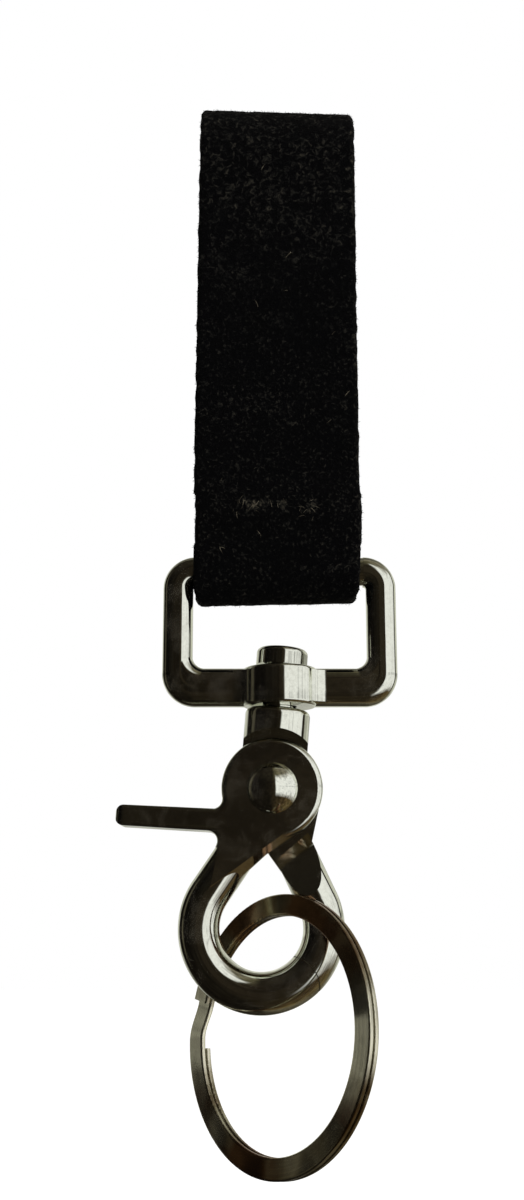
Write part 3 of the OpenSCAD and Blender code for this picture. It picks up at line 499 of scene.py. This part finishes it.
def fibre_mesh(radius, bends):
    """A fibre along bends, (lean, height) pairs in millimetres, three-sided and pointed."""
    mesh = bpy.data.meshes.new("one_fibre")
    verts = []
    for i, (lean, up) in enumerate(bends[:-1]):
        share = 1 - 0.5 * i / len(bends)
        for k in range(FIBRE_SIDES):
            turn = 2 * math.pi * k / FIBRE_SIDES
            verts.append((lean + radius * share * math.cos(turn), radius * share * math.sin(turn), up))
    verts.append((bends[-1][0], 0, bends[-1][1]))
    faces, tip = [(2, 1, 0)], len(verts) - 1
    for i in range(len(bends) - 1):
        for k in range(FIBRE_SIDES):
            a, b = FIBRE_SIDES * i + k, FIBRE_SIDES * i + (k + 1) % FIBRE_SIDES
            faces.append((a, b, b + FIBRE_SIDES, a + FIBRE_SIDES) if i < len(bends) - 2 else (a, b, tip))
    mesh.from_pydata([[c * MM for c in v] for v in verts], [], faces)
    return bpy.data.objects.new("one_fibre", mesh)


def in_band(tree, low, high, left, right):
    """Selects ragged clumps on the strap's front, between two heights and two ends in millimetres."""
    at = add(tree, "ShaderNodeSeparateXYZ", {0: add(tree, "GeometryNodeInputPosition").outputs[0]})
    limits = []
    for axis, start, end in (("Z", low, high), ("X", left, right)):
        off = add(tree, "ShaderNodeMath", {0: at.outputs[axis], 1: -(start + end) / 2 * MM}, operation="ADD")
        far = add(tree, "ShaderNodeMath", {0: off.outputs[0]}, operation="ABSOLUTE")
        limits.append(add(tree, "ShaderNodeMath", {0: far.outputs[0], 1: (end - start) / 2 * MM},
                          operation="LESS_THAN"))
    limits.append(add(tree, "ShaderNodeMath", {0: at.outputs["Y"], 1: FRONT_Y * MM}, operation="LESS_THAN"))
    clumped = add(tree, "ShaderNodeTexNoise", {"Scale": per(CLUMP_MM), "Detail": 1.0})
    chosen = add(tree, "ShaderNodeMath", {0: clumped.outputs[0], 1: 0.5}, operation="GREATER_THAN")
    for limit in limits:
        chosen = add(tree, "ShaderNodeMath", {0: chosen.outputs[0], 1: limit.outputs[0]}, operation="MULTIPLY")
    return chosen.outputs[0]


def scatter(name, on_piece, one, finish, per_m2, seed, band=None):
    """Copies of one fibre over a piece, or over a band of its front: its heights and its left and right ends."""
    tree = bpy.data.node_groups.new(name + "_scatter", "GeometryNodeTree")
    tree.interface.new_socket("Geometry", in_out="INPUT", socket_type="NodeSocketGeometry")
    density = tree.interface.new_socket("Fibres per square metre", in_out="INPUT", socket_type="NodeSocketFloat")
    start = tree.interface.new_socket("Seed", in_out="INPUT", socket_type="NodeSocketInt")
    tree.interface.new_socket("Geometry", in_out="OUTPUT", socket_type="NodeSocketGeometry")
    given = add(tree, "NodeGroupInput")
    spots = add(tree, "GeometryNodeDistributePointsOnFaces",
                {"Mesh": given.outputs["Geometry"], "Density": given.outputs["Fibres per square metre"],
                 "Seed": given.outputs["Seed"]})
    if band:
        tree.links.new(in_band(tree, *band), spots.inputs["Selection"])
    spin = add(tree, "FunctionNodeRandomValue",
               {"Min": (-TILT, -TILT, 0.0), "Max": (TILT, TILT, FULL_TURN), "Seed": 5}, data_type="FLOAT_VECTOR")
    size = add(tree, "FunctionNodeRandomValue", {2: 0.45, 3: 1.25, "Seed": 9}, data_type="FLOAT")
    turned = add(tree, "FunctionNodeRotateRotation",
                 {"Rotation": spots.outputs["Rotation"], "Rotate By": spin.outputs["Value"]}, rotation_space="LOCAL")
    source = add(tree, "GeometryNodeObjectInfo", {"Object": one})
    placed = add(tree, "GeometryNodeInstanceOnPoints",
                 {"Points": spots.outputs["Points"], "Instance": source.outputs["Geometry"],
                  "Rotation": turned.outputs["Rotation"], "Scale": size.outputs[1]})
    real = add(tree, "GeometryNodeRealizeInstances", {"Geometry": placed.outputs["Instances"]})
    dressed = add(tree, "GeometryNodeSetMaterial", {"Geometry": real.outputs["Geometry"], "Material": finish})
    add(tree, "NodeGroupOutput", {"Geometry": dressed.outputs["Geometry"]})
    carrier = on_piece.copy()
    carrier.data = on_piece.data.copy()
    bpy.context.scene.collection.objects.link(carrier)
    modifier = carrier.modifiers.new(name, "NODES")
    modifier.node_group = tree
    modifier[density.identifier] = per_m2
    modifier[start.identifier] = seed
    graph = bpy.context.evaluated_depsgraph_get()
    mesh = bpy.data.meshes.new_from_object(carrier.evaluated_get(graph))
    bpy.data.objects.remove(carrier)
    mesh.name = name
    fibres = bpy.data.objects.new(name, mesh)
    bpy.context.scene.collection.objects.link(fibres)
    return fibres


nap_fibre = fibre_mesh(0.035, [(0, 0), (0.1, 0.12), (0.3, 0.24)])
strap_nap = scatter("strap_nap", strap, nap_fibre, nap, per_m2=1.4e6, seed=11)
lint_fibre = fibre_mesh(0.045, [(0, 0), (0.2, 0.28), (0.7, 0.42), (1.1, 0.34)])
strap_lint = scatter("strap_lint", strap, lint_fibre, loose, per_m2=1.5e6, seed=4, band=(-67.6, -65.6, -6.5, 5.5))
stray_fibre = fibre_mesh(0.06, [(0, 0), (0.3, 0.3), (0.8, 0.42), (1.3, 0.34)])
stray_lint = scatter("stray_lint", strap, stray_fibre, loose, per_m2=1.4e4, seed=8, band=(-73, -4, -11, 10))
for piece in (strap, strap_nap, strap_lint, stray_lint):
    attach(piece, "belt_strap")
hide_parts("strap")


def walls(tree, turn, *stops):
    """Colours round the room, each at its compass turn in degrees, where 0 is the front and 90 the right."""
    share = add(tree, "ShaderNodeMapRange", {"Value": turn, "From Min": -180.0, "From Max": 180.0})
    return add(tree, "ShaderNodeValToRGB", {"Fac": share.outputs["Result"]},
               ramp=[((at + 180) / 360, colour) for at, colour in stops])


# Studio: what the bright metal mirrors. On the right is a wide window with a bar and a cross bar, from there to the
# left hangs black cloth, at the back are pale walls, and the floor and ceiling are dim and brown.
def make_studio():
    world = bpy.data.worlds.new("studio")
    world.use_nodes = True
    tree = world.node_tree
    tree.nodes.clear()
    outlook = add(tree, "ShaderNodeTexCoord").outputs["Generated"]
    way = add(tree, "ShaderNodeSeparateXYZ", {0: outlook})
    height = way.outputs["Z"]
    front = add(tree, "ShaderNodeMath", {0: way.outputs["Y"], 1: -1.0}, operation="MULTIPLY")
    azimuth = add(tree, "ShaderNodeMath", {0: way.outputs["X"], 1: front.outputs[0]}, operation="ARCTAN2")
    turn = add(tree, "ShaderNodeMapRange", {"Value": azimuth.outputs[0], "From Min": -math.pi, "From Max": math.pi,
                                            "To Min": -180.0, "To Max": 180.0}).outputs["Result"]
    eye_level = walls(
        tree, turn, (-180, "#c2c2b8"), (-136, "#b8b8ac"), (-127, "#14110d"), (-102, "#080706"), (-97, "#4a463a"),
        (-90, "#3e3a30"), (-84, "#0e0c0a"), (-55, "#0c0a08"), (-20, "#17140f"), (2, "#1f1a13"), (12, "#2c271e"),
        (17, "#ffffff"), (99, "#ffffff"), (102, "#1f1b15"), (112, "#1f1b15"), (118, "#b4b4a8"), (180, "#c2c2b8"))
    low = walls(
        tree, turn, (-180, "#28241c"), (-110, "#110e0b"), (-10, "#16130e"), (20, "#292217"), (60, "#433623"),
        (100, "#54482f"), (140, "#565042"), (180, "#28241c"))
    high = walls(
        tree, turn, (-180, "#57544a"), (-125, "#57544a"), (-105, "#1a1712"), (0, "#221e17"), (25, "#57523f"),
        (90, "#7a7466"), (130, "#57544a"), (180, "#57544a"))
    sink = add(tree, "ShaderNodeMapRange", {"Value": height, "From Min": -0.18, "From Max": -0.52})
    rise = add(tree, "ShaderNodeMapRange", {"Value": height, "From Min": 0.46, "From Max": 0.78})
    lower = add(tree, "ShaderNodeMix", {"Factor": sink.outputs["Result"], 6: eye_level.outputs["Color"],
                                        7: low.outputs["Color"]}, data_type="RGBA")
    room = add(tree, "ShaderNodeMix", {"Factor": rise.outputs["Result"], 6: lower.outputs[2],
                                       7: high.outputs["Color"]}, data_type="RGBA")
    bars = []
    for value, mid, half in ((turn, 58.0, 1.8), (height, 0.13, 0.035)):
        off = add(tree, "ShaderNodeMath", {0: value, 1: -mid}, operation="ADD")
        near = add(tree, "ShaderNodeMath", {0: off.outputs[0]}, operation="ABSOLUTE")
        bars.append(add(tree, "ShaderNodeMapRange", {"Value": near.outputs[0], "From Min": half * 0.5,
                                                     "From Max": half, "To Min": 0.6, "To Max": 1.0}))
    framed = add(tree, "ShaderNodeMath", {0: bars[0].outputs["Result"], 1: bars[1].outputs["Result"]},
                 operation="MULTIPLY")
    clutter = add(tree, "ShaderNodeTexNoise", {"Vector": outlook, "Scale": 6.0, "Detail": 4.0, "Roughness": 0.65})
    dim = add(tree, "ShaderNodeMapRange", {"Value": clutter.outputs["Fac"], "From Min": 0.36, "From Max": 0.62,
                                           "To Min": 0.7, "To Max": 1.75})
    veil = add(tree, "ShaderNodeMath", {0: framed.outputs[0], 1: dim.outputs["Result"]}, operation="MULTIPLY")
    shaded = add(tree, "ShaderNodeMix", {"Factor": 1.0, 6: room.outputs[2], 7: veil.outputs[0]},
                 data_type="RGBA", blend_type="MULTIPLY", clamp_result=True)
    ray = add(tree, "ShaderNodeLightPath")
    mirrored = add(tree, "ShaderNodeBackground", {"Color": shaded.outputs[2], "Strength": 1.0})
    soft = add(tree, "ShaderNodeBackground", {"Color": linear("#ffffff"), "Strength": 0.55})
    white = add(tree, "ShaderNodeBackground", {"Color": linear("#ffffff"), "Strength": 1.0})
    lit = add(tree, "ShaderNodeMixShader",
              {0: ray.outputs["Is Glossy Ray"], 1: soft.outputs[0], 2: mirrored.outputs[0]})
    sky = add(tree, "ShaderNodeMixShader", {0: ray.outputs["Is Camera Ray"], 1: lit.outputs[0], 2: white.outputs[0]})
    add(tree, "ShaderNodeOutputWorld", {"Surface": sky.outputs[0]})
    return world


bpy.context.scene.world = make_studio()

# Floor, in metres: white sweep paper far below. The metal mirrors the walls of the room in its place.
FLOOR_HALF, FLOOR_Z = 3, -0.3
floor_mesh = bpy.data.meshes.new("floor")
floor_mesh.from_pydata([(x * FLOOR_HALF, y * FLOOR_HALF, FLOOR_Z) for x, y in ((-1, -1), (1, -1), (1, 1), (-1, 1))],
                       [], [(0, 1, 2, 3)])
floor = bpy.data.objects.new("floor", floor_mesh)
bpy.context.scene.collection.objects.link(floor)


def make_paper():
    material, tree = new_material("white_sweep_paper")
    paper = add(tree, "ShaderNodeBsdfPrincipled", {"Base Color": linear("#f2f2f0"), "Roughness": 0.9})
    glow = add(tree, "ShaderNodeEmission", {"Color": linear("#ffffff"), "Strength": 0.6})
    both = add(tree, "ShaderNodeAddShader", {0: paper.outputs["BSDF"], 1: glow.outputs["Emission"]})
    open_air = add(tree, "ShaderNodeBsdfTransparent")
    ray = add(tree, "ShaderNodeLightPath")
    seen = add(tree, "ShaderNodeMixShader",
               {0: ray.outputs["Is Camera Ray"], 1: paper.outputs["BSDF"], 2: both.outputs[0]})
    mixed = add(tree, "ShaderNodeMixShader",
                {0: ray.outputs["Is Glossy Ray"], 1: seen.outputs[0], 2: open_air.outputs[0]})
    add(tree, "ShaderNodeOutputMaterial", {"Surface": mixed.outputs[0]})
    return material


floor_mesh.materials.append(make_paper())

# Lamps: name, place in metres, watts and the side of the square. The metal doesn't mirror them.
LAMPS = (("key_right", (0.42, -0.30, 0.02), 1.1, 0.35), ("top", (0.05, -0.12, 0.55), 1.0, 0.4))
LAMPS_AIM = Vector((0, 0, -0.08))
for name, place, power, size in LAMPS:
    lamp = bpy.data.lights.new(name, "AREA")
    lamp.energy = power
    lamp.size = size
    lamp_object = bpy.data.objects.new(name, lamp)
    lamp_object.location = place
    lamp_object.rotation_euler = (LAMPS_AIM - Vector(place)).to_track_quat("-Z", "Y").to_euler()
    lamp_object.visible_glossy = False
    bpy.context.scene.collection.objects.link(lamp_object)

bpy.context.scene.view_settings.view_transform = "Standard"
